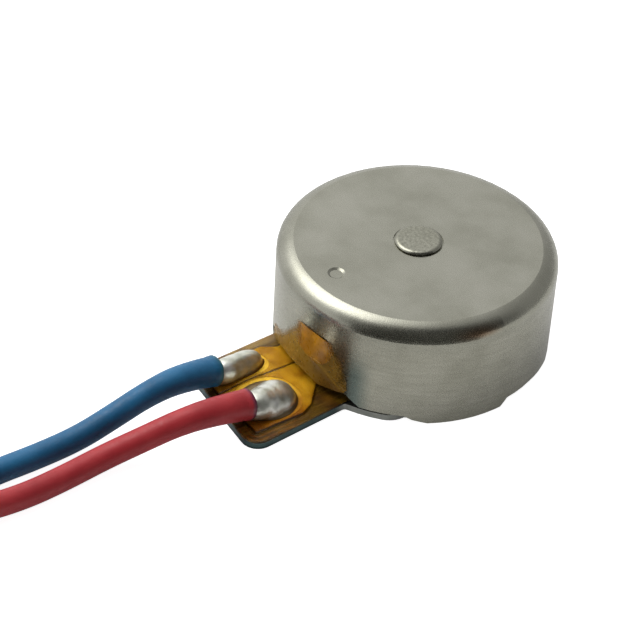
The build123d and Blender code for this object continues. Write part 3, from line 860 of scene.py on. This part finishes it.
# ---------------------------------------------------------------- solder
SOLDER_VOXEL = 0.03
SOLDER_GAP = 0.002
# height of the joint's brown foot: flux, and painted shade
FLUX_AND_SHADE_H = 0.16


def ball(points, faces, centre, size, rings=24, around=36):
    """Adds an ellipsoid to a list of points and faces."""
    first = len(points)
    for i in range(rings + 1):
        up = pi * i / rings
        for j in range(around):
            a = 2 * pi * j / around
            local = Vector((size[0] * sin(up) * cos(a), size[1] * sin(up) * sin(a), size[2] * cos(up)))
            points.append(Vector(centre) + local)
    faces.extend(ring_faces(first, rings, around))


def solder_joint(name, balls, seed, material, replaced):
    """A heap of solder: ellipsoids of (centre, half axes) melted together, with an uneven skin and a flat
    foot on the pad."""
    points, faces = [], []
    for centre, size in balls:
        ball(points, faces, centre, size)
    rough_mesh = bpy.data.meshes.new(name + "_rough")
    rough_mesh.from_pydata(points, [], faces)
    rough_mesh.validate()
    rough = bpy.data.objects.new(name + "_rough", rough_mesh)
    bpy.context.scene.collection.objects.link(rough)
    remesh = rough.modifiers.new("remesh", "REMESH")
    remesh.mode = "VOXEL"
    remesh.voxel_size = SOLDER_VOXEL
    smooth = rough.modifiers.new("smooth", "SMOOTH")
    smooth.factor = 0.5
    smooth.iterations = 24
    bpy.context.view_layer.update()
    # the remeshed balls are one body, which then gets its skin
    melted = bpy.data.meshes.new_from_object(rough.evaluated_get(bpy.context.evaluated_depsgraph_get()))
    bpy.data.objects.remove(rough)
    skin = []
    for vertex in melted.vertices:
        place, normal = vertex.co, vertex.normal
        uneven = 0.014 * noise.noise(place * 1.6 + Vector((seed, 0, 0))) + 0.005 * noise.noise(place * 5.0)
        moved = place + normal * uneven
        moved.z = max(moved.z, COPPER_TOP + SOLDER_GAP)
        skin.append(moved)
    faces = [tuple(polygon.vertices) for polygon in melted.polygons]
    joint = mesh_piece(name, skin, faces, material, "solder", replaced, sharp=80)
    # brown foot: flux, and painted shade where the joint meets the pad
    paint(joint, "foot", [smooth_step((COPPER_TOP + FLUX_AND_SHADE_H - point.z) / 0.12) for point in skin])
    return joint


def solder_skin():
    """Dull bright solder, brown at its foot: a ring of flux, with painted shade where the joint meets the
    pad.
    """
    stops = [(0.28, (0.56, 0.57, 0.50)), (0.5, (0.74, 0.75, 0.68)), (0.72, (0.93, 0.93, 0.90))]
    material, tree, shader, _, colour = surface(
        "solder", stops, mottle=0.34, grain=0.09, rough=(0.33, 0.48), relief=0.20, Metallic=0.9
    )
    flux_and_shade = tinted(tree, colour, (0.30, 0.21, 0.12), painted(tree, "foot"))
    tree.links.new(flux_and_shade, shader.inputs["Base Color"])
    return material


solder_metal = solder_skin()
solder_joint(
    "solder_red",
    [
        ((0.65, -5.28, 0.26), (0.61, 0.68, 0.57)),
        ((0.72, -5.56, 0.36), (0.56, 0.68, 0.52)),
        ((0.79, -5.84, 0.50), (0.46, 0.60, 0.46)),
        ((0.56, -5.38, 0.26), (0.86, 0.90, 0.07)),
    ],
    4.0, solder_metal, ("solder_joint_red",),
)
solder_joint(
    "solder_blue",
    [
        ((-0.97, -5.30, 0.26), (0.36, 0.74, 0.58)),
        ((-0.93, -5.62, 0.34), (0.37, 0.66, 0.53)),
        ((-0.87, -5.86, 0.46), (0.36, 0.52, 0.44)),
        ((-0.97, -5.38, 0.26), (0.42, 0.92, 0.08)),
    ],
    9.0, solder_metal, ("solder_joint_blue",),
)

# ---------------------------------------------------------------- melted ends of the insulation
# distance along the lead and radius, from outside to inside
LIP = (
    (0.42, 0.375), (0.26, 0.415), (0.10, 0.445), (0.00, 0.452), (-0.055, 0.425), (-0.070, 0.36),
    (-0.045, 0.29), (0.02, 0.25), (0.06, 0.12),
)


def insulation_lip(name, route, seed, material, slot):
    """The rolled, slightly uneven lip where heat drew the insulation back."""
    start, ahead = Vector(route[0]), (Vector(route[1]) - Vector(route[0])).normalized()
    across = ahead.cross(Vector((0, 0, 1))).normalized()
    upward = across.cross(ahead)
    around, points = 40, []
    for along, radius in LIP:
        for i in range(around):
            a = 2 * pi * i / around
            outward = across * cos(a) + upward * sin(a)
            uneven = 1 + 0.035 * noise.noise(outward * 1.4 + Vector((seed, along * 3, 0)))
            wander = 0.05 * noise.noise(outward * 1.1 + Vector((0, seed, 0)))
            points.append(start + ahead * (along + wander) + outward * radius * uneven)
    faces = ring_faces(0, len(LIP) - 1, around)
    faces.append(tuple(reversed(range(around))))
    faces.append(tuple((len(LIP) - 1) * around + i for i in range(around)))
    lip = mesh_piece(name, points, faces, material, slot, sharp=70)
    # the end of the insulation is tinted, dark purple on the red lead and teal on the blue
    paint(lip, "end_tint", [smooth_step((0.12 - along) / 0.12) for along, _ in LIP for _ in range(around)])


def lip_material(name, stops, end_tint):
    """Insulation tinted at its very end, dark purple on the red lead and teal on the blue."""
    material, tree, shader, _, colour = surface(name, stops, 0.3, 0.08, rough=(0.30, 0.48), relief=0.4)
    tree.links.new(tinted(tree, colour, end_tint, painted(tree, "end_tint")), shader.inputs["Base Color"])
    return material


red_lip = lip_material("red_lip", two((0.39, 0.019, 0.026), (0.49, 0.033, 0.042)), (0.34, 0.9, 1.8))
blue_lip = lip_material("blue_lip", two((0.006, 0.105, 0.235), (0.012, 0.155, 0.330)), (2.2, 1.15, 0.75))
insulation_lip("lead_red_lip", ROUTE_RED, 2.0, red_lip, "lead_red")
insulation_lip("lead_blue_lip", ROUTE_BLUE, 6.0, blue_lip, "lead_blue")
